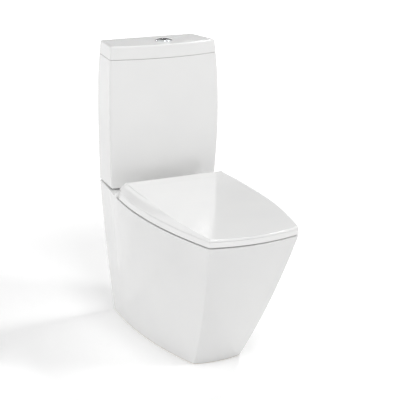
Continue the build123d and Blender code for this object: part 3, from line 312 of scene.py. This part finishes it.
# Flush valve and fill valve: white nylon for what is clamped to the cistern, grey acetal for what slides and
# turns in it, plated pins, and rubber where water is held back.
acetal = satin_moulding("moulded_grey_acetal", "#ABB3BA", "#BBC2C8")
dress(nylon, "flush_valve_base", "flush_valve_backnut", "flush_valve_cage")
dress(nylon, "fill_valve_body", "fill_valve_backnut", "inlet_strainer")
dress(acetal, "flush_valve_core", "half_flush_float", "flush_lever", "fill_valve_float", "fill_valve_lever")
dress(steel, "flush_lever_pin", "fill_valve_lever_pin")
dress(rubber, "flush_valve_gasket", "flush_valve_seal", "doughnut_seal", "fill_valve_gasket")

# Coupling set: two plated bolts pull the cistern down on the shelf, with rubber seals and pads against the
# china, plated washers, and nylon wing nuts underneath.
dress(threaded_steel, "coupling_bolts")
dress(steel, "coupling_head_washers", "coupling_washers")
dress(rubber, "coupling_seals", "cistern_pads")
dress(nylon, "coupling_wing_nuts")

# Floor: a plain white paper sheet that keeps the soft shadow beside the foot. The camera sees it a little
# brighter than it lights the object, and brighter still far off, as a sheet that is lit up to a white
# background.
FLOOR_HALF = 30.0
FLOOR_SEEN = 1.11
FLOOR_FAR = 1.75
FLOOR_FADE = (1.0, 4.0)
FLOOR_BOUNCE = 0.97
floor_mesh = bpy.data.meshes.new("floor")
floor_form = bmesh.new()
bmesh.ops.create_grid(floor_form, x_segments=1, y_segments=1, size=FLOOR_HALF)
floor_form.to_mesh(floor_mesh)
floor_form.free()
floor = bpy.data.objects.new("floor", floor_mesh)
bpy.context.collection.objects.link(floor)
paper, paper_tree, paper_place = new_material("white_paper_sheet")


def seen_or_mirrored(tree):
    """One for a ray that the camera sees straight, in gloss or through glass, and nought for the others."""
    rays = add_node(tree, "ShaderNodeLightPath").outputs
    mirrored = {0: rays["Is Glossy Ray"], 1: rays["Is Transmission Ray"]}
    mirrored = add_node(tree, "ShaderNodeMath", mirrored, operation="MAXIMUM").outputs[0]
    shown = {0: rays["Is Camera Ray"], 1: mirrored}
    return add_node(tree, "ShaderNodeMath", shown, operation="MAXIMUM").outputs[0]


distance = {0: paper_place}
distance = add_node(paper_tree, "ShaderNodeVectorMath", distance, operation="LENGTH").outputs["Value"]
fade = {"Value": distance, "From Min": FLOOR_FADE[0], "From Max": FLOOR_FADE[1]}
fade.update({"To Min": FLOOR_SEEN, "To Max": FLOOR_FAR})
fade = add_node(paper_tree, "ShaderNodeMapRange", fade).outputs[0]
levels = {"Factor": seen_or_mirrored(paper_tree), 2: FLOOR_BOUNCE, 3: fade}
shade = add_node(paper_tree, "ShaderNodeMix", levels).outputs[0]
sheet = add_node(paper_tree, "ShaderNodeBsdfDiffuse", {"Color": shade}).outputs[0]
add_node(paper_tree, "ShaderNodeOutputMaterial", {"Surface": sheet})
floor_mesh.materials.append(paper)

# Studio: a white surround that is brighter on the left and dimmer overhead, and a soft lamp on the front right
# that throws the shadow to the left. A large lamp high in front lifts the cistern's face, and two strip lamps
# are for the edges of the lids to mirror.
SURROUND_LIGHT = 0.85
SURROUND_LEAN = (-0.55, 0.16, -0.49)
world = bpy.data.worlds.new("studio")
bpy.context.scene.world = world
world.use_nodes = True
surround = world.node_tree
surround.nodes.clear()
direction = add_node(surround, "ShaderNodeTexCoord").outputs["Generated"]
lean = {0: direction, 1: SURROUND_LEAN}
lean = add_node(surround, "ShaderNodeVectorMath", lean, operation="DOT_PRODUCT").outputs["Value"]
lit = add_node(surround, "ShaderNodeMath", {0: lean, 1: SURROUND_LIGHT}, operation="ADD").outputs[0]
levels = {"Factor": seen_or_mirrored(surround), 2: lit, 3: 1.0}
level = add_node(surround, "ShaderNodeMix", levels).outputs[0]
backdrop = add_node(surround, "ShaderNodeBackground", {"Color": (1, 1, 1, 1), "Strength": level}).outputs[0]
add_node(surround, "ShaderNodeOutputWorld", {"Surface": backdrop})


def add_lamp(name, kind, place, energy, **settings):
    """A lamp that stands at a place and looks at the middle of the object."""
    light = bpy.data.lights.new(name, kind)
    light.energy = energy
    for setting, value in settings.items():
        setattr(light, setting, value)
    lamp = bpy.data.objects.new(name, light)
    bpy.context.collection.objects.link(lamp)
    lamp.location = place
    middle = (Vector(cad_box[0]) + Vector(cad_box[1])) / 2
    lamp.rotation_euler = (middle - lamp.location).to_track_quat("-Z", "Y").to_euler()


add_lamp("key", "SUN", (2.4, -1.9, 2.3), 0.70, angle=math.radians(16))
add_lamp("front", "AREA", (-0.2, -2.0, 3.3), 31, size=1.0)
add_lamp("strip", "AREA", (1.75, 0.45, 3.0), 27, size=0.5)
add_lamp(
    "edge_strip", "AREA", (0.12, 2.2, 1.75), 0.22,
    shape="RECTANGLE", size=0.5, size_y=0.2, spread=math.radians(20),
)

# Black flag: a cloth on a frame behind the cistern, out of the picture. Only the shine of the china and the
# chrome meets it. Its pale hem greys the top of the cistern's lid, and the black above it the buttons.
FLAG_PLACE = Vector((1.1, 2.3, 1.80))
FLAG_HALF = (2.2, 0.80)
FLAG_HEM = (1.26, 1.36)
HEM_GREY = "#A2A2A2"
CLOTH_BLACK = "#141414"
flag_mesh = bpy.data.meshes.new("black_flag")
flag_form = bmesh.new()
bmesh.ops.create_grid(flag_form, x_segments=1, y_segments=1, size=1.0)
bmesh.ops.scale(flag_form, vec=(*FLAG_HALF, 1.0), verts=flag_form.verts)
bmesh.ops.rotate(
    flag_form, cent=(0, 0, 0), matrix=Matrix.Rotation(math.pi / 2, 3, "X"), verts=flag_form.verts
)
bmesh.ops.translate(flag_form, vec=FLAG_PLACE, verts=flag_form.verts)
flag_form.to_mesh(flag_mesh)
flag_form.free()
flag = bpy.data.objects.new("black_flag", flag_mesh)
bpy.context.collection.objects.link(flag)
flag.visible_camera = False
flag.visible_diffuse = False
flag.visible_shadow = False
cloth, cloth_tree, cloth_place = new_material("black_flag_cloth")
height = add_node(cloth_tree, "ShaderNodeSeparateXYZ", {"Vector": cloth_place}).outputs["Z"]
hem = {"Value": height, "From Min": FLAG_HEM[0], "From Max": FLAG_HEM[1]}
hem = add_node(cloth_tree, "ShaderNodeMapRange", hem).outputs[0]
tones = {"Factor": hem, 6: linear(HEM_GREY), 7: linear(CLOTH_BLACK)}
tone = add_node(cloth_tree, "ShaderNodeMix", tones, data_type="RGBA").outputs[2]
weave = add_node(cloth_tree, "ShaderNodeBsdfDiffuse", {"Color": tone}).outputs[0]
add_node(cloth_tree, "ShaderNodeOutputMaterial", {"Surface": weave})
flag_mesh.materials.append(cloth)

# Camera: it stands as far off and as high as the photograph's perspective gives.
CAMERA_PLACE = Vector((-1.2368, -2.607, 1.3265))
CAMERA_YAW = math.radians(24.74)
CAMERA_DIP = math.radians(15.88)
camera = bpy.data.objects.new("camera", bpy.data.cameras.new("camera"))
bpy.context.collection.objects.link(camera)
bpy.context.scene.camera = camera
camera.location = CAMERA_PLACE
camera.rotation_euler = (math.pi / 2 - CAMERA_DIP, 0, -CAMERA_YAW)
camera.data.lens = 101.2
camera.data.sensor_width = 36.0
camera.data.shift_x = 0.035
camera.data.shift_y = -0.08

bpy.context.scene.view_settings.view_transform = "Standard"
